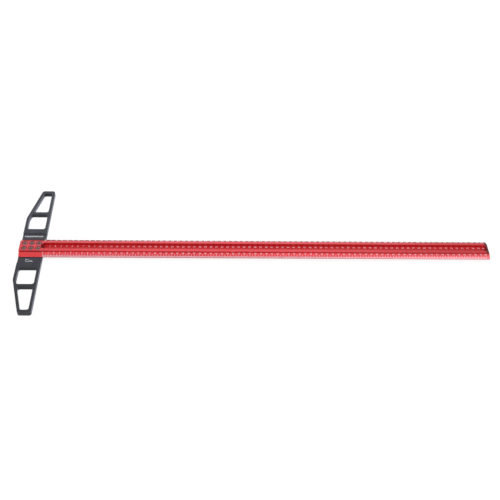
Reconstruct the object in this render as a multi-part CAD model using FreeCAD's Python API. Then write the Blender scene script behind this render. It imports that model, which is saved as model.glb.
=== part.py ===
import FreeCAD, Part
import math
import os

# T-square: a red metal rail with a scale along both edges, screwed down on a flat black head.
#
# Frame: the origin is on the head's working face (X = 0), on the rail's centre line (Y = 0) and in
# the plane of the rail's underside (Z = 0), where the corner of a drawing board sits.
# +X runs along the rail, away from the head, +Y goes across it and +Z is up.
# X = 0 is also the zero of the scales. All lengths are in millimetres.

# Rail, lengthwise
RAIL_LENGTH = 848.5
RAIL_LEFT = -42.5
END_SLOPE_LENGTH = 6.4
END_SLOPE_DROP = 2.7

# Rail, in section: a plateau with a bevelled scale edge on each side
RAIL_WIDTH = 43.1
RAIL_HEIGHT = 8.0
PLATEAU_WIDTH = 25.2
PLATEAU_STEP = 3.2
PLATEAU_CHAMFER = 0.5
SCALE_EDGE_HEIGHT = 1.0

# Valley milled along the middle of the plateau
VALLEY_LEFT = -3.9
VALLEY_RIGHT = 803.4
VALLEY_WIDTH = 14.3
VALLEY_FLOOR_HEIGHT = 1.5
VALLEY_FLOOR_RADIUS = 0.8
VALLEY_EDGE_CHAMFER = 0.6

# Head, in plan
HEAD_HALF_LENGTH = 151.2
HEAD_WIDTH = 42.5
HEAD_TIP_WIDTH = 23.0
TAPER_START = 77.0
FRAME_BAR = 5.0
END_BAR = 6.6
WEB_HALF_LENGTH = 48.0
CROSS_BAR_INNER = 86.8
CROSS_BAR_OUTER = 92.8
WINDOW_RADIUS = 4.0
TIP_RADIUS = 4.5
TAPER_RADIUS = 14.0

# Head, in thickness
HEAD_TOP = 2.5
HEAD_UNDERSIDE = -6.0
SEAT_HALF_LENGTH = 34.9
SEAT_SLOPE_RUN = 2.3
HEAD_EDGE_CHAMFER = 0.4

# Screws: M4 countersunk with a hexagon socket, three across the head in two rows
SCREW_PITCH = 12.5
SCREW_ROW_OFFSET = 6.1
SCREWS_PER_ROW = 3
SCREW_RADIUS = 2.0
SCREW_HEAD_RADIUS = 3.75
SCREW_RIM = 0.3
SCREW_TIP_HEIGHT = -5.0
SCREW_TIP_CHAMFER = 0.4
SOCKET_ACROSS_FLATS = 2.5
SOCKET_DEPTH = 1.8
CLEARANCE_RADIUS = 2.25
COUNTERSINK_RADIUS = 4.9

# How far a cutting tool runs past the face that it opens
OVERRUN = 5.0

# Edges that differ from a level plane by less than this lie in it
LEVEL_TOLERANCE = 0.3

# Length of straight edge left between the two arcs at each end of the valley
VALLEY_END_FLAT = 0.02

# Worked out from the values above
RAIL_RIGHT = RAIL_LEFT + RAIL_LENGTH
SHOULDER_HEIGHT = RAIL_HEIGHT - PLATEAU_STEP
TAPER_SLOPE = (HEAD_WIDTH - HEAD_TIP_WIDTH) / (HEAD_HALF_LENGTH - TAPER_START)
TAPERED_BAR = FRAME_BAR * math.hypot(1.0, TAPER_SLOPE)
SEAT_CONTACT_HEIGHT = RAIL_HEIGHT - COUNTERSINK_RADIUS + SCREW_HEAD_RADIUS
SCREW_TOP = SEAT_CONTACT_HEIGHT + SCREW_RIM

UP = FreeCAD.Vector(0.0, 0.0, 1.0)


def polygon_face(points):
    """A flat face inside straight lines through the points."""
    return Part.Face(Part.makePolygon(points + points[:1]))


def rounded_face(corners):
    """A flat face at Z = 0 from (x, y, radius) corners, each rounded by a tangent arc."""
    count = len(corners)
    arcs = []
    for index in range(count):
        x, y, radius = corners[index]
        before_x, before_y, _ = corners[index - 1]
        after_x, after_y, _ = corners[(index + 1) % count]
        corner = FreeCAD.Vector(x, y, 0.0)
        back = (FreeCAD.Vector(before_x, before_y, 0.0) - corner).normalize()
        ahead = (FreeCAD.Vector(after_x, after_y, 0.0) - corner).normalize()
        half_angle = back.getAngle(ahead) / 2.0
        inward = (back + ahead).normalize()
        cutback = radius / math.tan(half_angle)
        middle = corner + inward * (radius / math.sin(half_angle) - radius)
        arcs.append(Part.Arc(corner + back * cutback, middle, corner + ahead * cutback))
    edges = []
    for index in range(count):
        arc = arcs[index]
        next_arc = arcs[(index + 1) % count]
        edges.append(arc.toShape())
        edges.append(Part.makeLine(arc.value(arc.LastParameter), next_arc.value(next_arc.FirstParameter)))
    return Part.Face(Part.Wire(edges))


def upright_cylinder(radius, bottom, top, x, y):
    """A cylinder along Z between two heights."""
    return Part.makeCylinder(radius, top - bottom, FreeCAD.Vector(x, y, bottom), UP)


def upright_cone(bottom_radius, top_radius, bottom, top, x, y):
    """A cone along Z between two heights."""
    return Part.makeCone(bottom_radius, top_radius, top - bottom, FreeCAD.Vector(x, y, bottom), UP)


def screw_places():
    """Node name and (x, y) of every screw, from the rail's end towards the working face."""
    places = []
    for row, side in (("far", 1.0), ("near", -1.0)):
        for number in range(SCREWS_PER_ROW):
            x = -HEAD_WIDTH / 2.0 + (number - (SCREWS_PER_ROW - 1) / 2.0) * SCREW_PITCH
            places.append((f"screw_{row}_{number + 1}", x, side * SCREW_ROW_OFFSET))
    return places


def rail_section():
    """The rail's cross-section at its left end, in the YZ plane."""
    half_width = RAIL_WIDTH / 2.0
    half_plateau = PLATEAU_WIDTH / 2.0
    right_side = [
        (half_width, 0.0),
        (half_width, SCALE_EDGE_HEIGHT),
        (half_plateau, SHOULDER_HEIGHT),
        (half_plateau, RAIL_HEIGHT - PLATEAU_CHAMFER),
        (half_plateau - PLATEAU_CHAMFER, RAIL_HEIGHT),
    ]
    left_side = [(-y, z) for y, z in reversed(right_side)]
    return polygon_face([FreeCAD.Vector(RAIL_LEFT, y, z) for y, z in right_side + left_side])


def valley_cutter():
    """The round-ended slot that is milled out of the plateau, with a rounded floor edge."""
    half_width = VALLEY_WIDTH / 2.0
    corners = [
        (VALLEY_LEFT, -half_width),
        (VALLEY_RIGHT, -half_width),
        (VALLEY_RIGHT, half_width),
        (VALLEY_LEFT, half_width),
    ]
    corner_radius = (VALLEY_WIDTH - VALLEY_END_FLAT) / 2.0
    outline = rounded_face([(x, y, corner_radius) for x, y in corners])
    outline.translate(FreeCAD.Vector(0.0, 0.0, VALLEY_FLOOR_HEIGHT))
    slot = outline.extrude(UP * (RAIL_HEIGHT - VALLEY_FLOOR_HEIGHT + OVERRUN))
    highest_floor_edge = VALLEY_FLOOR_HEIGHT + LEVEL_TOLERANCE
    floor_edges = [edge for edge in slot.Edges if edge.BoundBox.ZMax < highest_floor_edge]
    return slot.makeFillet(VALLEY_FLOOR_RADIUS, floor_edges)


def break_valley_edge(rail):
    """Chamfers the valley's rim, the only level edges inside the plateau's top."""
    inside = VALLEY_WIDTH / 2.0 + LEVEL_TOLERANCE
    lowest = RAIL_HEIGHT - LEVEL_TOLERANCE
    level = [edge for edge in rail.Edges if edge.BoundBox.ZMin > lowest]
    rim = [edge for edge in level if max(-edge.BoundBox.YMin, edge.BoundBox.YMax) < inside]
    return rail.makeChamfer(VALLEY_EDGE_CHAMFER, rim)


def end_slope_cutter():
    """The wedge that slopes the plateau down at the rail's free end."""
    half_width = RAIL_WIDTH / 2.0 + OVERRUN
    slope = END_SLOPE_DROP / END_SLOPE_LENGTH
    left = RAIL_RIGHT - END_SLOPE_LENGTH - OVERRUN
    right = RAIL_RIGHT + OVERRUN
    high = RAIL_HEIGHT + slope * OVERRUN
    low = RAIL_HEIGHT - END_SLOPE_DROP - slope * OVERRUN
    points = [
        FreeCAD.Vector(left, -half_width, high),
        FreeCAD.Vector(right, -half_width, high),
        FreeCAD.Vector(right, -half_width, low),
    ]
    return polygon_face(points).extrude(FreeCAD.Vector(0.0, 2.0 * half_width, 0.0))


def make_rail():
    """The rail, with its valley, its sloped free end and six countersunk holes over the head."""
    rail = rail_section().extrude(FreeCAD.Vector(RAIL_LENGTH, 0.0, 0.0))
    rail = break_valley_edge(rail.cut(valley_cutter()))
    rail = rail.cut(end_slope_cutter())
    sink_bottom = RAIL_HEIGHT - (COUNTERSINK_RADIUS - CLEARANCE_RADIUS)
    for _, x, y in screw_places():
        rail = rail.cut(upright_cylinder(CLEARANCE_RADIUS, -OVERRUN, RAIL_HEIGHT, x, y))
        rail = rail.cut(upright_cone(CLEARANCE_RADIUS, COUNTERSINK_RADIUS, sink_bottom, RAIL_HEIGHT, x, y))
    return rail


def taper_x(y):
    """X of the head's outer edge where it tapers, at a distance y from the middle."""
    return -HEAD_WIDTH + (y - TAPER_START) * TAPER_SLOPE


def window_faces(side):
    """The head's two windows on one side of the rail: side is 1 for +Y and -1 for -Y."""
    inner_x = -HEAD_WIDTH + FRAME_BAR
    taper_meets = TAPER_START + (FRAME_BAR - TAPERED_BAR) / TAPER_SLOPE
    end_bar_inner = HEAD_HALF_LENGTH - END_BAR
    near_window = [
        (-FRAME_BAR, WEB_HALF_LENGTH, WINDOW_RADIUS),
        (-FRAME_BAR, CROSS_BAR_INNER, WINDOW_RADIUS),
        (taper_x(CROSS_BAR_INNER) + TAPERED_BAR, CROSS_BAR_INNER, WINDOW_RADIUS),
        (inner_x, taper_meets, TAPER_RADIUS),
        (inner_x, WEB_HALF_LENGTH, WINDOW_RADIUS),
    ]
    tip_window = [
        (-FRAME_BAR, CROSS_BAR_OUTER, WINDOW_RADIUS),
        (-FRAME_BAR, end_bar_inner, WINDOW_RADIUS),
        (taper_x(end_bar_inner) + TAPERED_BAR, end_bar_inner, WINDOW_RADIUS),
        (taper_x(CROSS_BAR_OUTER) + TAPERED_BAR, CROSS_BAR_OUTER, WINDOW_RADIUS),
    ]
    return [rounded_face([(x, side * y, r) for x, y, r in window]) for window in (near_window, tip_window)]


def head_outline():
    """The head's outline in plan, without its windows."""
    upper = [
        (0.0, HEAD_HALF_LENGTH, TIP_RADIUS),
        (-HEAD_TIP_WIDTH, HEAD_HALF_LENGTH, TIP_RADIUS),
        (-HEAD_WIDTH, TAPER_START, TAPER_RADIUS),
    ]
    lower = [(x, -y, radius) for x, y, radius in reversed(upper)]
    return rounded_face(upper + lower)


def seat_cutter():
    """The block that lowers the head's top for the rail, with a slope at each end of the seat."""
    left = -HEAD_WIDTH - OVERRUN
    height = HEAD_TOP + OVERRUN
    top_half_length = SEAT_HALF_LENGTH + SEAT_SLOPE_RUN * height / HEAD_TOP
    points = [
        FreeCAD.Vector(left, -SEAT_HALF_LENGTH, 0.0),
        FreeCAD.Vector(left, SEAT_HALF_LENGTH, 0.0),
        FreeCAD.Vector(left, top_half_length, height),
        FreeCAD.Vector(left, -top_half_length, height),
    ]
    return polygon_face(points).extrude(FreeCAD.Vector(HEAD_WIDTH + 2.0 * OVERRUN, 0.0, 0.0))


def make_head():
    """The head: a flat frame with four windows, a lowered seat and six tapped holes."""
    plate = head_outline()
    for side in (1.0, -1.0):
        for window in window_faces(side):
            plate = plate.cut(window)
    plate.translate(FreeCAD.Vector(0.0, 0.0, HEAD_UNDERSIDE))
    head = plate.extrude(UP * (HEAD_TOP - HEAD_UNDERSIDE))
    if head.ShapeType != "Solid":
        head = head.Solids[0]
    rims = [edge for edge in head.Edges if edge.BoundBox.ZLength < LEVEL_TOLERANCE]
    head = head.makeChamfer(HEAD_EDGE_CHAMFER, rims)
    head = head.cut(seat_cutter())
    for _, x, y in screw_places():
        head = head.cut(upright_cylinder(SCREW_RADIUS, HEAD_UNDERSIDE - OVERRUN, OVERRUN, x, y))
    return head


def make_screw(x, y):
    """A countersunk socket screw, seated in the rail and screwed into the head."""
    half_section = [
        (0.0, SCREW_TIP_HEIGHT),
        (SCREW_RADIUS - SCREW_TIP_CHAMFER, SCREW_TIP_HEIGHT),
        (SCREW_RADIUS, SCREW_TIP_HEIGHT + SCREW_TIP_CHAMFER),
        (SCREW_RADIUS, SEAT_CONTACT_HEIGHT - (SCREW_HEAD_RADIUS - SCREW_RADIUS)),
        (SCREW_HEAD_RADIUS, SEAT_CONTACT_HEIGHT),
        (SCREW_HEAD_RADIUS, SCREW_TOP),
        (0.0, SCREW_TOP),
    ]
    section = polygon_face([FreeCAD.Vector(radius, 0.0, z) for radius, z in half_section])
    screw = section.revolve(FreeCAD.Vector(0.0, 0.0, 0.0), UP, 360.0)
    corner_radius = SOCKET_ACROSS_FLATS / math.sqrt(3.0)
    floor = SCREW_TOP - SOCKET_DEPTH
    hexagon = []
    for side in range(6):
        angle = math.radians(60.0 * side)
        corner_x = corner_radius * math.cos(angle)
        corner_y = corner_radius * math.sin(angle)
        hexagon.append(FreeCAD.Vector(corner_x, corner_y, floor))
    socket = polygon_face(hexagon).extrude(UP * (SOCKET_DEPTH + OVERRUN))
    screw = screw.cut(socket)
    screw.translate(FreeCAD.Vector(x, y, 0.0))
    return screw


def save(node, shape):
    """Checks one piece and writes it to its own STEP file."""
    solid = shape.removeSplitter()
    if not solid.isValid():
        raise ValueError(f"{node} is not a valid shape")
    if len(solid.Solids) != 1:
        raise ValueError(f"{node} has {len(solid.Solids)} solids")
    solid.Solids[0].exportStep(os.path.join("parts", f"{node}.step"))
    print(f"{node}: volume {solid.Volume:.0f} mm3")


def main():
    os.makedirs("parts", exist_ok=True)
    save("rail", make_rail())
    save("head", make_head())
    for node, x, y in screw_places():
        save(node, make_screw(x, y))


main()
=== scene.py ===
import math

import bmesh
import bpy
from mathutils import Matrix, Quaternion, Vector


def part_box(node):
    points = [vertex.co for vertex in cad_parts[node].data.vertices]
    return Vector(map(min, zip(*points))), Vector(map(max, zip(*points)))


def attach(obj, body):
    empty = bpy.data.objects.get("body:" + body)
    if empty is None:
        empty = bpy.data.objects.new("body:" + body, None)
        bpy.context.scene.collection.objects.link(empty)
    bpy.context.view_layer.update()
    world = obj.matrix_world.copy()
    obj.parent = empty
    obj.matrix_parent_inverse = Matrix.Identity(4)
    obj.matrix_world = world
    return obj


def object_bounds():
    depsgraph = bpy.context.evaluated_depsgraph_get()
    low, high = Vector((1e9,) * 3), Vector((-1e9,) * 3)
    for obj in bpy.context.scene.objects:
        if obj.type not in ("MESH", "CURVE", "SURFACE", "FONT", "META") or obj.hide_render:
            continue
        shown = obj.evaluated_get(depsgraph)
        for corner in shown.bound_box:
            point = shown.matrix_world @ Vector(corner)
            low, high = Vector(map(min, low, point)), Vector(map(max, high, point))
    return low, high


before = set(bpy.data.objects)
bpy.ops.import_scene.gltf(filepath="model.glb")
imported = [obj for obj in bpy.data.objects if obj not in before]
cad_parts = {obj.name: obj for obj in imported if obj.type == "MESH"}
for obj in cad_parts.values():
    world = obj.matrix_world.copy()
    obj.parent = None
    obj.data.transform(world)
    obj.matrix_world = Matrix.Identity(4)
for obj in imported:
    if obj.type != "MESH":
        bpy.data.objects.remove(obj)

# A T-square: a red anodised rail, printed with three white scales, on a black open-frame head.
# Everything is in metres in the CAD frame: X = 0 is the head's working face and the scales' zero,
# Y = 0 is the rail's centre line and Z = 0 its underside.

cad_low, cad_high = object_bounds()
rail_low, rail_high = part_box("rail")
head_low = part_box("head")[0]

MM = 0.001

# The rail's section, and where its valley and its sloping end lie along X
HALF_RAIL = rail_high.y
HALF_PLATEAU = 12.6 * MM
PLATEAU_HEIGHT = rail_high.z
SHOULDER_HEIGHT = 4.8 * MM
SCALE_EDGE_HEIGHT = 1.0 * MM
UNDERSIDE = rail_low.z
HALF_VALLEY = 7.15 * MM
VALLEY_FLOOR = 1.5 * MM
VALLEY_LEFT = -3.9 * MM
VALLEY_RIGHT = 803.4 * MM
END_SLOPE_LEFT = rail_high.x - 6.4 * MM
BEVEL_ANGLE = math.atan2(SHOULDER_HEIGHT - SCALE_EDGE_HEIGHT, HALF_RAIL - HALF_PLATEAU)

# The scales
LAST_CENTIMETRE = 80
LAST_NUMBER_SHIFT = 1.2 * MM
INK_THICKNESS = 0.05 * MM
TICK_WIDTH = 0.43 * MM
FONT_DIGIT_HEIGHT = 0.69
FONT_WEIGHT = 0.055
FONT_RESOLUTION = 3

# The marks on the head's two seats: a row of ticks past the rail's far edge, and a set square's outline
# before its near edge
MARK_WIDTH = 0.55 * MM
ROW_COUNT = 31
ROW_PITCH = 1.07 * MM
ROW_LEFT = head_low.x + 4.1 * MM
ROW_FOOT = 29.2 * MM
ROW_RISE = 2.7 * MM
ROW_LONG_RISE = 3.4 * MM
SQUARE_CORNER = Vector((head_low.x + 14.5 * MM, -31.6 * MM))
SQUARE_LENGTH = 13.0 * MM
SQUARE_HEIGHT = 6.0 * MM

# The rail's colours
DEEP_RED = (0.58, 0.012, 0.022, 1.0)
LIGHT_RED = (0.66, 0.018, 0.030, 1.0)
LINE_RED = (0.78, 0.05, 0.06, 1.0)
# painted shade over the near part of the valley's floor, painted light over its far part
SHADED_NEAR_VALLEY_RED = (0.47, 0.010, 0.017, 1.0)
LIT_FAR_VALLEY_RED = (0.76, 0.031, 0.041, 1.0)
# painted sheen on the lands
LAND_SHEEN_RED = (0.60, 0.068, 0.080, 1.0)
# painted shade on the near land towards the free end
LAND_SHADE_RED = (0.40, 0.010, 0.016, 1.0)
# painted sheen on the near bevel
BEVEL_SHEEN_RED = (0.80, 0.130, 0.160, 1.0)
# painted shade on the near bevel beside its pale band
SHADED_RED = (0.45, 0.012, 0.020, 1.0)
# painted light and shade on the near bevel over the head: darker under the shoulder, lighter at the edge
OVER_HEAD_SHOULDER_SHADE = (0.54, 0.008, 0.014, 1.0)
OVER_HEAD_EDGE_LIGHT = (0.60, 0.008, 0.014, 1.0)
# painted shade on the far bevel
FAR_BEVEL_SHADE_RED = (0.30, 0.003, 0.006, 1.0)
SCUFFED_METAL = (0.80, 0.26, 0.26, 1.0)
WORN_METAL = (0.80, 0.50, 0.50, 1.0)
# painted shade in the countersinks and at the valley's closed ends
RECESS_SHADE_RED = (0.17, 0.008, 0.012, 1.0)
# painted shade on the scale edges' upright faces
EDGE_FACE_SHADE = (0.20, 0.075, 0.080, 1.0)
# painted shade on the slope at the free end
END_SLOPE_SHADE = (0.19, 0.007, 0.011, 1.0)

# The head's colours
DARKEST_BLACK = (0.010, 0.012, 0.018, 1.0)
# the palest black serves both the random clouds and a painted sheen towards the far end
PALE_BLACK_CLOUDS_AND_SHEEN = (0.053, 0.058, 0.077, 1.0)
BLASTED_SPECK = (0.082, 0.086, 0.102, 1.0)
# rubbed wear on the chamfers together with a painted edge highlight
RUBBED_CHAMFER_AND_HIGHLIGHT = (0.16, 0.165, 0.19, 1.0)
# painted reflection on the walls facing +X
PLUS_X_REFLECTION = (0.143, 0.161, 0.220, 1.0)
# painted shade on the walls inside the frame that face the near end
NEAR_WALL_SHADE = (0.003, 0.005, 0.014, 1.0)

# The screws' colours, all tinted with a painted red reflection of the rail
CLEAN_STEEL_RED_REFLECTION = (0.30, 0.155, 0.168, 1.0)
STAINED_STEEL_RED_REFLECTION = (0.095, 0.045, 0.050, 1.0)
TURNED_RING_RED_REFLECTION = (0.42, 0.27, 0.28, 1.0)

# The inks' colours: where full, where thin and in their pinholes
WHITE_INK = ((1.00, 0.84, 0.92, 1.0), (0.92, 0.72, 0.80, 1.0), (0.70, 0.40, 0.40, 1.0))
FADED_INK = ((1.00, 0.66, 0.74, 1.0), (0.94, 0.52, 0.60, 1.0), (0.70, 0.40, 0.40, 1.0))
COOL_INK = ((0.90, 0.92, 0.97, 1.0), (0.74, 0.76, 0.82, 1.0), (0.45, 0.46, 0.50, 1.0))

# The floor, which glows by itself so that it stays white under the object
FLOOR_HALF_SIZE = 12.0
FLOOR_GREY = (0.20, 0.20, 0.20, 1.0)
FLOOR_GLOW = 0.86

# How bright the surroundings are low down behind the object, and in front of it
LOW_GLOW = 0.22
FRONT_GLOW = 0.70

# The colour that the floor and the surroundings glow with
WHITE = (1.0, 1.0, 1.0, 1.0)

# The camera, which looks at a point close to the rail's centre line
CAMERA_TARGET = Vector((370.63 * MM, -0.6 * MM, 0.0))
CAMERA_AZIMUTH = math.radians(-2.954)
CAMERA_ELEVATION = math.radians(45.967)
CAMERA_ROLL = math.radians(2.43)
CAMERA_DISTANCE = 1.549
CAMERA_LENS = 61.505
CAMERA_SENSOR = 36.0
CAMERA_CLIP = (0.05, 100.0)


# ---------------------------------------------------------------- shader nodes


class Nodes:
    """A node tree, with a short call for each kind of node used here."""

    def __init__(self, tree):
        self.tree = tree

    def node(self, kind, **settings):
        made = self.tree.nodes.new(kind)
        for key, value in settings.items():
            setattr(made, key, value)
        return made

    def feed(self, socket, value):
        """Links a socket to another's output, or gives it a plain value."""
        if isinstance(value, bpy.types.NodeSocket):
            self.tree.links.new(value, socket)
        else:
            socket.default_value = value

    def position(self):
        return self.node("ShaderNodeTexCoord").outputs["Object"]

    def generated(self):
        return self.node("ShaderNodeTexCoord").outputs["Generated"]

    def facing(self):
        """The way that the surface faces, as three numbers."""
        return self.axes(self.node("ShaderNodeNewGeometry").outputs["True Normal"])

    def stretched(self, vector, scale, shift=(0.0, 0.0, 0.0)):
        mapping = self.node("ShaderNodeMapping")
        self.feed(mapping.inputs["Vector"], vector)
        mapping.inputs["Scale"].default_value = scale
        mapping.inputs["Location"].default_value = shift
        return mapping.outputs["Vector"]

    def noise(self, vector, scale=1.0, detail=3.0, roughness=0.5):
        made = self.node("ShaderNodeTexNoise")
        self.feed(made.inputs["Vector"], vector)
        made.inputs["Scale"].default_value = scale
        made.inputs["Detail"].default_value = detail
        made.inputs["Roughness"].default_value = roughness
        return made.outputs["Fac"]

    def math(self, operation, first, second=0.0):
        made = self.node("ShaderNodeMath", operation=operation)
        self.feed(made.inputs[0], first)
        self.feed(made.inputs[1], second)
        return made.outputs[0]

    def product(self, first, *others):
        for other in others:
            first = self.math("MULTIPLY", first, other)
        return first

    def apart(self, first, second):
        """How far two values are from each other."""
        return self.math("ABSOLUTE", self.math("SUBTRACT", first, second))

    def spread(self, value, from_low, from_high, to_low=0.0, to_high=1.0):
        """Moves a value smoothly from one range to another, and holds it there."""
        made = self.node("ShaderNodeMapRange", interpolation_type="SMOOTHSTEP")
        self.feed(made.inputs["Value"], value)
        made.inputs["From Min"].default_value = from_low
        made.inputs["From Max"].default_value = from_high
        made.inputs["To Min"].default_value = to_low
        made.inputs["To Max"].default_value = to_high
        return made.outputs["Result"]

    def mix(self, factor, first, second):
        """A colour between two colours."""
        made = self.node("ShaderNodeMix", data_type="RGBA")
        self.feed(made.inputs[0], factor)
        self.feed(made.inputs[6], first)
        self.feed(made.inputs[7], second)
        return made.outputs[2]

    def axes(self, vector):
        made = self.node("ShaderNodeSeparateXYZ")
        self.feed(made.inputs[0], vector)
        return made.outputs

    def join(self, x, y, z=0.0):
        made = self.node("ShaderNodeCombineXYZ")
        for socket, value in zip(made.inputs, (x, y, z)):
            self.feed(socket, value)
        return made.outputs[0]

    def distance(self, vector, point):
        made = self.node("ShaderNodeVectorMath", operation="DISTANCE")
        self.feed(made.inputs[0], vector)
        made.inputs[1].default_value = point
        return made.outputs["Value"]

    def bump(self, height, distance, strength):
        made = self.node("ShaderNodeBump")
        self.feed(made.inputs["Height"], height)
        made.inputs["Distance"].default_value = distance
        made.inputs["Strength"].default_value = strength
        return made.outputs["Normal"]


class Finish(Nodes):
    """A material, with its node tree and its surface."""

    def __init__(self, name):
        self.material = bpy.data.materials.new(name)
        self.material.use_nodes = True
        super().__init__(self.material.node_tree)
        self.surface = self.tree.nodes["Principled BSDF"]

    def set(self, **values):
        """Sets the surface's inputs: coat_weight=0.5 sets Coat Weight."""
        for key, value in values.items():
            self.feed(self.surface.inputs[key.replace("_", " ").title().replace("Ior", "IOR")], value)


# ---------------------------------------------------------------- the rail's material


def drawn_colour(s, y, in_valley, lines, clouds):
    """The red before wear: cloudy, with painted shade over the near part of the milled valley's floor and
    painted light over its far part.

    Fine lines run along all of it.
    """
    drawn = s.mix(s.spread(clouds, 0.3, 0.7), DEEP_RED, LIGHT_RED)
    # painted light and shade: the valley's floor is darker over its near part and paler over its far part
    valley = s.mix(s.spread(y, 1.6 * MM, 3.2 * MM), SHADED_NEAR_VALLEY_RED, LIT_FAR_VALLEY_RED)
    milled = s.mix(in_valley, drawn, valley)
    return s.mix(s.spread(lines, 0.25, 0.75, 0.0, 0.18), milled, LINE_RED)


def tint_lands(s, colour, place, clouds):
    """The lands: a painted pale sheen in patches, strongest on the far one, that fades along them.

    The near land carries painted shade, deeper towards the free end.
    """
    x, y, z = s.axes(place)
    land = s.spread(z, PLATEAU_HEIGHT - 0.3 * MM, PLATEAU_HEIGHT - 0.1 * MM)
    patches = s.spread(clouds, 0.2, 0.8, 0.72, 0.97)
    across = s.spread(y, -9.0 * MM, 9.0 * MM, 0.20, 0.90)
    along = s.spread(x, 0.0, rail_high.x, 1.0, 0.62)
    # painted sheen on the lands, in patches, strongest on the far land and fading along the rail
    land_sheen = s.mix(s.product(land, patches, across, along), colour, LAND_SHEEN_RED)
    near_side = s.spread(y, 0.0, -9.0 * MM)
    # painted shade on the near land, deeper towards the free end
    land_shade = s.product(land, near_side, s.spread(x, 350.0 * MM, 800.0 * MM, 0.0, 0.45))
    return s.mix(land_shade, land_sheen, LAND_SHADE_RED)


def tint_bevels(s, colour, place):
    """The near bevel carries a painted sheen towards its free end and its edge, and the far one painted
    shade.
    """
    x, y = s.axes(place)[:2]
    bevel = s.spread(s.math("ABSOLUTE", y), HALF_PLATEAU + 0.1 * MM, HALF_PLATEAU + 0.4 * MM)
    near_bevel = s.product(bevel, s.spread(y, 0.0, -HALF_PLATEAU))
    far_bevel = s.product(bevel, s.spread(y, 0.0, HALF_PLATEAU))

    towards_end = s.spread(x, 450.0 * MM, 780.0 * MM, 0.12, 1.0)
    towards_edge = s.spread(y, -14.5 * MM, -18.5 * MM, 0.25, 1.0)
    # painted sheen on the near bevel, towards its free end and its edge
    bevel_sheen = s.mix(s.product(near_bevel, towards_end, towards_edge), colour, BEVEL_SHEEN_RED)

    # painted shade darkens the near bevel beside a pale band of painted highlight, which runs from under the
    # shoulder at the head to the edge at the free end
    pale_band = s.apart(s.spread(x, 400.0 * MM, 750.0 * MM), s.spread(y, -19.0 * MM, -15.0 * MM))
    band_shade = s.math("SUBTRACT", 1.0, pale_band)
    band_shaded = s.mix(s.product(band_shade, near_bevel, 0.75), bevel_sheen, SHADED_RED)

    # where the near bevel lies over the head it is bare of print and has its own painted light and shade,
    # darker under the shoulder and lighter towards the edge
    over_head = s.spread(x, 1.0 * MM, -1.0 * MM)
    over_head_light_and_shade = s.mix(s.spread(y, -13.5 * MM, -17.0 * MM), OVER_HEAD_SHOULDER_SHADE, OVER_HEAD_EDGE_LIGHT)
    over_head_painted = s.mix(s.product(near_bevel, over_head, 0.9), band_shaded, over_head_light_and_shade)

    # painted shade on the far bevel, deepest towards the free end
    far_bevel_shade = s.product(far_bevel, s.spread(x, 350.0 * MM, 720.0 * MM, 0.62, 1.0))
    return s.mix(far_bevel_shade, over_head_painted, FAR_BEVEL_SHADE_RED)


def wear_rail(s, colour, place):
    """Fine scuffs that run across the lines, and paler metal on the section's outer corners."""
    scuff_field = s.noise(s.stretched(place, (900.0, 70.0, 70.0)), detail=3.0, roughness=0.7)
    scuffs = s.spread(scuff_field, 0.66, 0.74)
    scuffed = s.mix(s.product(scuffs, 0.12), colour, SCUFFED_METAL)

    y, z = s.axes(place)[1:]
    section = s.join(s.math("ABSOLUTE", y), z)
    corners = [
        (HALF_PLATEAU, PLATEAU_HEIGHT, 0.0),
        (HALF_VALLEY, PLATEAU_HEIGHT, 0.0),
        (HALF_RAIL, SCALE_EDGE_HEIGHT, 0.0),
        (HALF_RAIL, UNDERSIDE, 0.0),
    ]
    nearest = s.distance(section, corners[0])
    for corner in corners[1:]:
        nearest = s.math("MINIMUM", nearest, s.distance(section, corner))
    rub_field = s.noise(s.stretched(place, (90.0, 500.0, 500.0)), detail=5.0, roughness=0.65)
    rubbed = s.spread(rub_field, 0.50, 0.66)
    wear = s.product(s.spread(nearest, 0.7 * MM, 0.1 * MM), rubbed, 0.45)
    return s.mix(wear, scuffed, WORN_METAL)


def rail_grime(s, place, in_valley, facing):
    """How much painted shade each place gets: the screws' countersinks and the valley's two closed ends are
    darkened as shade in these recesses.
    """
    x, y = s.axes(place)[:2]

    # over the head, what leans at 45 degrees between the plateau's edges is the countersinks and the
    # valley's rim
    cone = s.spread(s.apart(facing[2], math.sqrt(0.5)), 0.10, 0.04)
    inner = s.spread(s.math("ABSOLUTE", y), HALF_PLATEAU - 0.9 * MM, HALF_PLATEAU - 1.2 * MM)
    over_head = s.spread(x, 0.0, -2.0 * MM)
    countersinks = s.product(cone, inner, over_head, 0.85)

    left_end = s.spread(x, VALLEY_LEFT + 7.5 * MM, VALLEY_LEFT + 2.0 * MM)
    right_end = s.spread(x, VALLEY_RIGHT - 4.0 * MM, VALLEY_RIGHT - 0.5 * MM)
    valley_ends = s.product(s.math("MAXIMUM", left_end, right_end), in_valley, 0.7)
    return s.math("MAXIMUM", countersinks, valley_ends)


def saw_ends(s, colour, place, facing):
    """The scale edges' upright faces and the slope at the free end carry painted shade."""
    x, y = s.axes(place)[:2]
    edge = s.spread(s.math("ABSOLUTE", y), HALF_RAIL - 0.10 * MM, HALF_RAIL - 0.03 * MM)
    # painted shade on the scale edges' upright faces
    edge_faces_shaded = s.mix(s.product(edge, 0.85), colour, EDGE_FACE_SHADE)
    leaning = s.spread(facing[0], 0.2, 0.3)
    at_end = s.spread(x, END_SLOPE_LEFT - 1.0 * MM, END_SLOPE_LEFT)
    # painted shade on the slope at the free end
    return s.mix(s.product(leaning, at_end, 0.92), edge_faces_shaded, END_SLOPE_SHADE)


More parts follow.
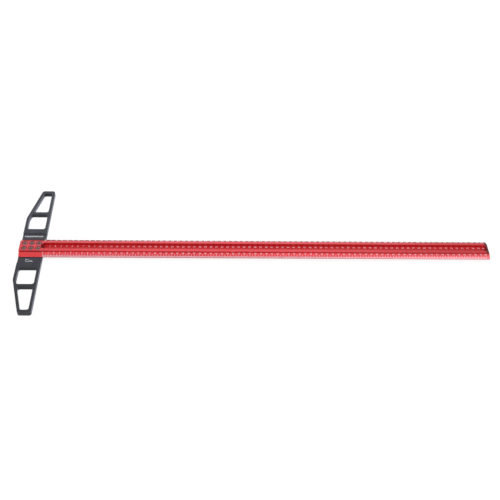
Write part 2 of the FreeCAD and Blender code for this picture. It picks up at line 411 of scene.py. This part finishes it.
def rail_material():
    """Satin red anodised aluminium, with extrusion lines along X and worn edges; its colour also holds
    painted sheen and painted shade.
    """
    s = Finish("red_anodised")
    place = s.position()
    facing = s.facing()
    y, z = s.axes(place)[1:]
    lines = s.noise(s.stretched(place, (12.0, 3200.0, 3200.0)), detail=4.0, roughness=0.6)
    clouds = s.noise(s.stretched(place, (14.0, 60.0, 60.0)), detail=4.0, roughness=0.55)
    grain = s.noise(place, scale=2600.0, detail=2.0)
    depth = s.spread(z, PLATEAU_HEIGHT - 0.2 * MM, PLATEAU_HEIGHT - 0.6 * MM)
    in_valley = s.product(depth, s.spread(s.math("ABSOLUTE", y), HALF_VALLEY + 0.3 * MM, HALF_VALLEY))

    colour = drawn_colour(s, y, in_valley, lines, clouds)
    colour = tint_lands(s, colour, place, clouds)
    colour = tint_bevels(s, colour, place)
    colour = wear_rail(s, colour, place)
    # painted shade in the countersinks and at the valley's closed ends
    colour = s.mix(rail_grime(s, place, in_valley, facing), colour, RECESS_SHADE_RED)
    colour = saw_ends(s, colour, place, facing)

    satin = s.spread(lines, 0.2, 0.8, 0.30, 0.42)
    relief = s.math("ADD", s.product(lines, 0.8), s.product(grain, 0.25))
    s.set(
        base_color=colour,
        metallic=0.9,
        roughness=s.math("ADD", satin, s.product(clouds, 0.06)),
        ior=1.5,
        coat_weight=0.8,
        coat_roughness=0.25,
        normal=s.bump(relief, 0.02 * MM, 0.8),
    )
    return s.material


# ---------------------------------------------------------------- other materials


def head_material():
    """Matt black anodised aluminium with a blasted grain and slightly rubbed chamfers; its colour also holds
    a painted sheen towards the far end, painted highlights on the chamfers and on walls facing +X, and
    painted shade on walls facing the near end.
    """
    s = Finish("black_anodised")
    place = s.position()
    y = s.axes(place)[1]
    facing = s.facing()
    grain = s.noise(place, scale=3400.0, detail=3.0, roughness=0.6)
    clouds = s.noise(place, scale=26.0, detail=5.0, roughness=0.6)
    streaks = s.noise(s.stretched(place, (420.0, 40.0, 200.0)), detail=4.0, roughness=0.6)

    cloudiness = s.spread(clouds, 0.3, 0.7, 0.0, 0.5)
    # painted sheen: the black lightens towards the far end
    far_end_sheen = s.spread(y, -100.0 * MM, 100.0 * MM, 0.0, 0.5)
    black = s.mix(s.math("ADD", cloudiness, far_end_sheen), DARKEST_BLACK, PALE_BLACK_CLOUDS_AND_SHEEN)
    speckled = s.mix(s.spread(grain, 0.45, 0.8, 0.0, 0.35), black, BLASTED_SPECK)

    # the chamfers are lightened in streaks: rubbed wear together with a painted edge highlight
    chamfer = s.spread(s.apart(s.math("ABSOLUTE", facing[2]), math.sqrt(0.5)), 0.12, 0.05)
    rubbing = s.spread(streaks, 0.40, 0.65, 0.25, 1.0)
    rubbed = s.mix(s.product(chamfer, rubbing, 0.45), speckled, RUBBED_CHAMFER_AND_HIGHLIGHT)

    # painted reflection: the working face and every frame wall that faces the same way are lightened
    working = s.spread(facing[0], 0.8, 0.95)
    plus_x_reflected = s.mix(s.product(working, 0.85), rubbed, PLUS_X_REFLECTION)

    # painted shade: the walls inside the frame that face the near end are darkened
    near_wall_shade_mask = s.spread(facing[1], -0.6, -0.9)
    inside = s.spread(y, head_low.y + 2.0 * MM, head_low.y + 4.0 * MM)
    s.set(
        base_color=s.mix(s.product(near_wall_shade_mask, inside, 0.9), plus_x_reflected, NEAR_WALL_SHADE),
        metallic=0.25,
        roughness=s.spread(clouds, 0.25, 0.75, 0.42, 0.52),
        ior=1.5,
        normal=s.bump(grain, 0.03 * MM, 0.6),
    )
    return s.material


def screw_material():
    """Turned steel: rings round the screw's axis, a little stained, and tinted with a painted red reflection
    of the rail.
    """
    s = Finish("turned_steel")
    centred = s.stretched(s.generated(), (1.0, 1.0, 0.0), (-0.5, -0.5, 0.0))
    wave = s.node("ShaderNodeTexWave", wave_type="RINGS", rings_direction="SPHERICAL")
    s.feed(wave.inputs["Vector"], centred)
    wave.inputs["Scale"].default_value = 9.0
    wave.inputs["Distortion"].default_value = 1.2
    wave.inputs["Detail"].default_value = 3.0
    rings = wave.outputs["Fac"]
    stain = s.noise(s.position(), scale=420.0, detail=5.0, roughness=0.65)
    steel = s.mix(s.spread(stain, 0.35, 0.7), CLEAN_STEEL_RED_REFLECTION, STAINED_STEEL_RED_REFLECTION)
    s.set(
        base_color=s.mix(s.product(rings, 0.3), steel, TURNED_RING_RED_REFLECTION),
        metallic=0.9,
        roughness=s.spread(stain, 0.3, 0.7, 0.30, 0.45),
        normal=s.bump(rings, 0.02 * MM, 0.5),
    )
    return s.material


def ink_material(name, colours):
    """Marking ink: matt and a little uneven, with pinholes."""
    full, thin, pinhole = colours
    s = Finish(name)
    place = s.position()
    patches = s.noise(place, scale=240.0, detail=4.0, roughness=0.6)
    pores = s.noise(place, scale=5200.0, detail=2.0)
    uneven = s.mix(s.spread(patches, 0.3, 0.7), full, thin)
    s.set(
        base_color=s.mix(s.spread(pores, 0.66, 0.78, 0.0, 0.5), uneven, pinhole),
        roughness=s.spread(patches, 0.3, 0.7, 0.50, 0.65),
        normal=s.bump(pores, 0.02 * MM, 0.4),
    )
    return s.material


def paint_cad_nodes():
    """Gives each CAD node its finished material."""
    finishes = {"rail_red": rail_material(), "head_black": head_material(), "screw_steel": screw_material()}
    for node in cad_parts.values():
        for place in node.material_slots:
            place.material = finishes[place.material.name]


# ---------------------------------------------------------------- printed marks


def surface_plane(origin, up):
    """A printed surface's own frame: X along the rail, Y the way its marks stand, Z out of it."""
    right = Vector((1.0, 0.0, 0.0))
    up = Vector(up).normalized()
    out = right.cross(up)
    columns = Matrix((right, up, out)).transposed()
    return Matrix.Translation(origin) @ columns.to_4x4()


def digit_solids():
    """A solid for each digit, one unit high, centred on its own middle, as thick as the ink."""
    solids = {}
    for digit in "0123456789":
        curve = bpy.data.curves.new("digit", "FONT")
        curve.body = digit
        curve.resolution_u = FONT_RESOLUTION
        curve.offset = FONT_WEIGHT
        curve.extrude = INK_THICKNESS / 2.0
        holder = bpy.data.objects.new("digit", curve)
        mesh = bpy.data.meshes.new_from_object(holder)
        bpy.data.objects.remove(holder)
        bpy.data.curves.remove(curve)
        xs = [v.co.x for v in mesh.vertices]
        ys = [v.co.y for v in mesh.vertices]
        middle = Vector(((min(xs) + max(xs)) / 2.0, (min(ys) + max(ys)) / 2.0, 0.0))
        unit = 1.0 / FONT_DIGIT_HEIGHT
        mesh.transform(Matrix.Diagonal((unit, unit, 1.0, 1.0)) @ Matrix.Translation(-middle))
        solids[digit] = mesh
    return solids


class Print:
    """Marks of ink on one surface, gathered into one piece."""

    digits = digit_solids()

    def __init__(self, plane):
        self.plane = plane
        self.marks = bmesh.new()

    def line(self, start, end, width):
        """A straight mark between two points of the surface."""
        along = Vector(end) - Vector(start)
        middle = (Vector(start) + Vector(end)) / 2.0
        size = Matrix.Diagonal((along.length, width, INK_THICKNESS, 1.0))
        turn = Matrix.Rotation(math.atan2(along.y, along.x), 4, "Z")
        place = Matrix.Translation(middle.to_3d())
        bmesh.ops.create_cube(self.marks, size=1.0, matrix=self.plane @ place @ turn @ size)

    def tick(self, x, low, high, width):
        """A mark straight up the surface, from low to high above its X axis."""
        self.line((x, low), (x, high), width)

    def millimetres(self, base, short, long):
        """A tick for each millimetre, all from one base, with a longer one at each fifth."""
        for millimetre in range(10 * LAST_CENTIMETRE + 1):
            length = long if millimetre % 5 == 0 else short
            self.tick(millimetre * MM, base, base + length, TICK_WIDTH)

    def number(self, value, x, middle, height, spacing):
        """A number centred on a point of the surface; spacing is its digits' pitch over their height."""
        text = str(value)
        pitch = spacing * height
        for index, digit in enumerate(text):
            offset = (index - (len(text) - 1) / 2.0) * pitch
            size = Matrix.Diagonal((height, height, 1.0, 1.0))
            glyph = self.digits[digit].copy()
            glyph.transform(self.plane @ Matrix.Translation((x + offset, middle, 0.0)) @ size)
            self.marks.from_mesh(glyph)
            bpy.data.meshes.remove(glyph)

    def centimetres(self, first, middle, height, spacing):
        """A number at each centimetre, the last one shifted clear of the rail's end."""
        for centimetre in range(first, LAST_CENTIMETRE + 1):
            shift = LAST_NUMBER_SHIFT if centimetre == LAST_CENTIMETRE else 0.0
            self.number(centimetre, centimetre * 10.0 * MM - shift, middle, height, spacing)

    def finish(self, name, material):
        bmesh.ops.remove_doubles(self.marks, verts=self.marks.verts, dist=0.001 * MM)
        bmesh.ops.recalc_face_normals(self.marks, faces=self.marks.faces)
        mesh = bpy.data.meshes.new(name)
        self.marks.to_mesh(mesh)
        self.marks.free()
        mesh.materials.append(material)
        piece = bpy.data.objects.new(name, mesh)
        bpy.context.scene.collection.objects.link(piece)
        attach(piece, "root")


def print_near_scale(material):
    """The scale on the near bevel: ticks from the edge up, and a number at each centimetre."""
    slope = (0.0, math.cos(BEVEL_ANGLE), math.sin(BEVEL_ANGLE))
    ink = Print(surface_plane((0.0, -HALF_RAIL, SCALE_EDGE_HEIGHT), slope))
    ink.millimetres(base=0.35 * MM, short=2.7 * MM, long=5.9 * MM)
    ink.centimetres(first=0, middle=8.4 * MM, height=1.9 * MM, spacing=1.1)
    ink.finish("scale_near", material)


def print_far_scale(material):
    """The scale on the far bevel: ticks from its top down, and numbers near the edge."""
    slope = (0.0, math.cos(BEVEL_ANGLE), -math.sin(BEVEL_ANGLE))
    ink = Print(surface_plane((0.0, HALF_PLATEAU, SHOULDER_HEIGHT), slope))
    ink.millimetres(base=0.3 * MM, short=2.6 * MM, long=5.0 * MM)
    ink.centimetres(first=0, middle=7.8 * MM, height=3.5 * MM, spacing=0.86)
    ink.finish("scale_far", material)


def print_valley_scale(material):
    """The scale on the valley's floor: a number at each centimetre."""
    ink = Print(surface_plane((0.0, 0.0, VALLEY_FLOOR), (0.0, 1.0, 0.0)))
    ink.centimetres(first=1, middle=5.1 * MM, height=2.6 * MM, spacing=0.92)
    ink.finish("scale_valley", material)


def print_head_marks(material):
    """Plain marks on the head's two seats: a row of fine ticks, and a small set square's outline."""
    ink = Print(surface_plane((0.0, 0.0, 0.0), (0.0, 1.0, 0.0)))
    for index in range(ROW_COUNT):
        rise = ROW_LONG_RISE if index % 5 == 0 else ROW_RISE
        ink.tick(ROW_LEFT + index * ROW_PITCH, ROW_FOOT, ROW_FOOT + rise, MARK_WIDTH)
    end = SQUARE_CORNER + Vector((SQUARE_LENGTH, 0.0))
    top = SQUARE_CORNER + Vector((0.0, SQUARE_HEIGHT))
    for start, stop in ((SQUARE_CORNER, end), (SQUARE_CORNER, top), (top, end)):
        ink.line(start, stop, MARK_WIDTH)
    ink.finish("head_marks", material)


# ---------------------------------------------------------------- stage and camera


def make_floor():
    """A plain pale floor under the head, far larger than the object."""
    s = Finish("pale_floor")
    s.set(base_color=FLOOR_GREY, roughness=0.9, emission_color=WHITE, emission_strength=FLOOR_GLOW)
    shape = bmesh.new()
    bmesh.ops.create_grid(shape, x_segments=1, y_segments=1, size=FLOOR_HALF_SIZE)
    mesh = bpy.data.meshes.new("floor")
    shape.to_mesh(mesh)
    shape.free()
    mesh.materials.append(s.material)
    floor = bpy.data.objects.new("floor", mesh)
    floor.location.z = cad_low.z
    bpy.context.scene.collection.objects.link(floor)


def add_area_light(name, place, size, power):
    """A soft square light that points at the middle of the object."""
    lamp = bpy.data.lights.new(name, "AREA")
    lamp.size = size
    lamp.energy = power
    holder = bpy.data.objects.new(name, lamp)
    holder.location = place
    middle = (cad_low + cad_high) / 2.0
    holder.rotation_euler = (Vector(place) - middle).to_track_quat("Z", "Y").to_euler()
    bpy.context.scene.collection.objects.link(holder)


def make_surroundings():
    """A pale studio: bright overhead and in front of the object, darker low down behind it."""
    world = bpy.data.worlds.new("surroundings")
    bpy.context.scene.world = world
    world.use_nodes = True
    s = Nodes(world.node_tree)
    y, z = s.axes(s.generated())[1:]
    behind = s.math("ADD", LOW_GLOW, s.spread(z, 0.05, 1.0))
    in_front = s.spread(y, 0.25, -0.60)
    front_gain = s.product(in_front, s.math("SUBTRACT", FRONT_GLOW, behind))
    background = world.node_tree.nodes["Background"]
    background.inputs["Color"].default_value = WHITE
    s.feed(background.inputs["Strength"], s.math("ADD", behind, front_gain))


def light_scene():
    """Three soft lights over the object, in pale surroundings."""
    make_surroundings()
    add_area_light("back_light", place=(0.35, 1.85, 1.55), size=1.6, power=5.0)
    add_area_light("left_light", place=(-0.45, -0.1, 2.0), size=0.6, power=0.8)
    add_area_light("top_light", place=(1.05, -0.1, 2.2), size=1.3, power=4.9)
    bpy.context.scene.view_settings.view_transform = "Standard"


def make_camera():
    """The camera, placed round its target by azimuth, elevation and roll."""
    back = Vector((
        math.sin(CAMERA_AZIMUTH) * math.cos(CAMERA_ELEVATION),
        -math.cos(CAMERA_AZIMUTH) * math.cos(CAMERA_ELEVATION),
        math.sin(CAMERA_ELEVATION),
    ))
    data = bpy.data.cameras.new("camera")
    data.lens = CAMERA_LENS
    data.sensor_width = CAMERA_SENSOR
    data.clip_start, data.clip_end = CAMERA_CLIP
    camera = bpy.data.objects.new("camera", data)
    camera.location = CAMERA_TARGET + back * CAMERA_DISTANCE
    camera.rotation_mode = "QUATERNION"
    level = back.to_track_quat("Z", "Y")
    camera.rotation_quaternion = level @ Quaternion((0.0, 0.0, 1.0), CAMERA_ROLL)
    bpy.context.scene.collection.objects.link(camera)
    bpy.context.scene.camera = camera


paint_cad_nodes()
white_ink = ink_material("white_ink", WHITE_INK)
print_near_scale(white_ink)
print_far_scale(white_ink)
print_valley_scale(ink_material("faded_ink", FADED_INK))
print_head_marks(ink_material("cool_ink", COOL_INK))
make_floor()
light_scene()
make_camera()
